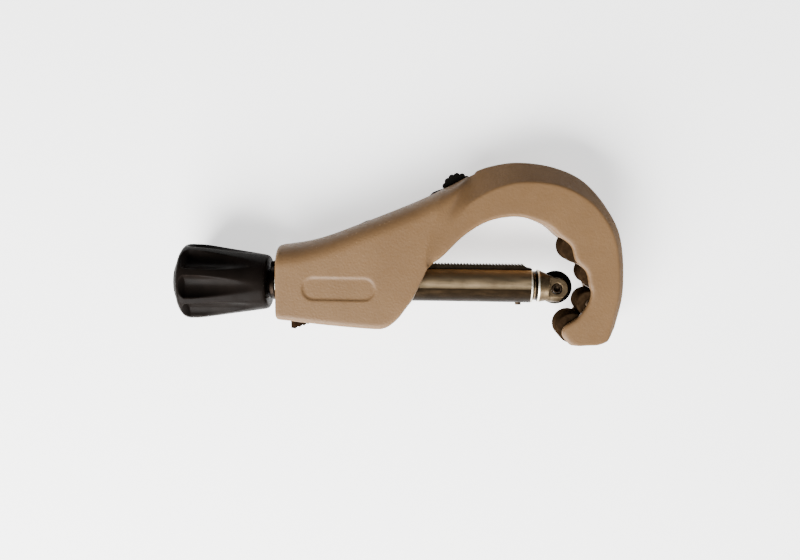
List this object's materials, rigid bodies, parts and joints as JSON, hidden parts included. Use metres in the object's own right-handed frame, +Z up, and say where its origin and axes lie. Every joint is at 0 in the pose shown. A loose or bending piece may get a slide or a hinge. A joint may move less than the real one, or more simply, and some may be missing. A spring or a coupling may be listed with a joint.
{
  "type": "pipe cutter",
  "caption": "Telescoping hand pipe cutter with a die-cast hooked frame, rollers, a toothed quick-slide tube with a cutting wheel, a feed knob, a release lever and a folding deburring blade",
  "frame": {"origin": "bottom centre of the bounding box: the middle of the tool's footprint, on the surface that it lies on", "axes": "+Z up, out of the tool's flat side as it lies; +X along the slide from the feed knob to the hook; +Y from the slide towards the crown of the hook"},
  "size_m": [0.2228, 0.0888, 0.0372],
  "materials": {
    "frame_paint": "champagne paint on a die casting, satin with fine orange peel",
    "tube_steel": "dull nickel plate with streaks along the slide",
    "rack_steel": "dark, cut teeth",
    "carrier_steel": "worn plated steel",
    "plug_steel": "turned, plated, shiny edge",
    "screw_steel": "turned and greased",
    "pin_steel": "ground",
    "spring_steel": "drawn wire",
    "roller_steel": "dark, satin, turned",
    "wheel_steel": "blackened, ground edge",
    "blade_steel": "browned, stamped",
    "knob_plastic": "moulded, soft sheen",
    "cap_plastic": "moulded, domed, soft sheen",
    "lever_plastic": "moulded, matte"
  },
  "bodies": {
    "frame": {"frame_casting": "frame_paint", "roller_1_pin": "pin_steel", "roller_2_pin": "pin_steel", "roller_3_pin": "pin_steel", "roller_4_pin": "pin_steel", "release_lever_pin": "pin_steel", "deburring_blade_pin": "pin_steel"},
    "roller_one": {"roller_1": "roller_steel"},
    "roller_two": {"roller_2": "roller_steel"},
    "roller_three": {"roller_3": "roller_steel"},
    "roller_four": {"roller_4": "roller_steel"},
    "lever": {"release_lever": "lever_plastic", "release_lever_spring": "spring_steel"},
    "nut": {"half_nut": "pin_steel", "half_nut_link_pin": "pin_steel"},
    "blade": {"deburring_blade": "blade_steel"},
    "slide": {"slide_tube": "tube_steel", "gear_rack": "rack_steel", "tube_end_plug": "plug_steel", "guide_pin": "pin_steel", "thrust_washer": "pin_steel"},
    "feed": {"feed_screw": "screw_steel", "knob": "knob_plastic", "knob_cap": "cap_plastic", "knob_washer": "pin_steel", "knob_nut": "pin_steel"},
    "carrier": {"wheel_carrier": "carrier_steel", "wheel_axle": "pin_steel"},
    "wheel": {"cutting_wheel": "wheel_steel"}
  },
  "joints": [
    {"name": "slide_travel", "type": "slide", "parent": "frame", "child": "slide", "axis": [1, 0, 0], "range_m": [-0.064, 0]},
    {"name": "knob_turn", "type": "hinge", "parent": "slide", "child": "feed", "pos_m": [-0.06001, -0.01615, 0.01861], "axis": [1, 0, 0], "range_deg": [-360, 360]},
    {"name": "carrier_feed", "type": "slide", "parent": "slide", "child": "carrier", "axis": [1, 0, 0], "range_m": [-0.002, 0.002]},
    {"name": "wheel_spin", "type": "hinge", "parent": "carrier", "child": "wheel", "pos_m": [0.08029, -0.01685, 0.01861], "axis": [0, 0, 1], "continuous": true},
    {"name": "roller_1_spin", "type": "hinge", "parent": "frame", "child": "roller_one", "pos_m": [0.08869, 0.00375, 0.01861], "axis": [0, 0, 1], "continuous": true},
    {"name": "roller_2_spin", "type": "hinge", "parent": "frame", "child": "roller_two", "pos_m": [0.09679, -0.00875, 0.01861], "axis": [0, 0, 1], "continuous": true},
    {"name": "roller_3_spin", "type": "hinge", "parent": "frame", "child": "roller_three", "pos_m": [0.09589, -0.02355, 0.01861], "axis": [0, 0, 1], "continuous": true},
    {"name": "roller_4_spin", "type": "hinge", "parent": "frame", "child": "roller_four", "pos_m": [0.08799, -0.03595, 0.01861], "axis": [0, 0, 1], "continuous": true},
    {"name": "lever_press", "type": "hinge", "parent": "frame", "child": "lever", "pos_m": [0.00999, 0.01885, 0.01861], "axis": [0, 0, 1], "range_deg": [-6, 0], "stiffness_Nm_per_rad": 0.5, "springref_deg": 5.73},
    {"name": "nut_lift", "type": "slide", "parent": "frame", "child": "nut", "axis": [0, 1, 0], "range_m": [0, 0.0018]},
    {"name": "blade_fold", "type": "hinge", "parent": "frame", "child": "blade", "pos_m": [-0.01001, -0.03165, 0.01861], "axis": [0, 0, 1], "range_deg": [0, 110]}
  ],
  "couplings": [
    {"joint": "carrier_feed", "follows": "knob_turn", "m_per_rad": 0.000318},
    {"joint": "nut_lift", "follows": "lever_press", "m_per_rad": -0.0163}
  ]
}
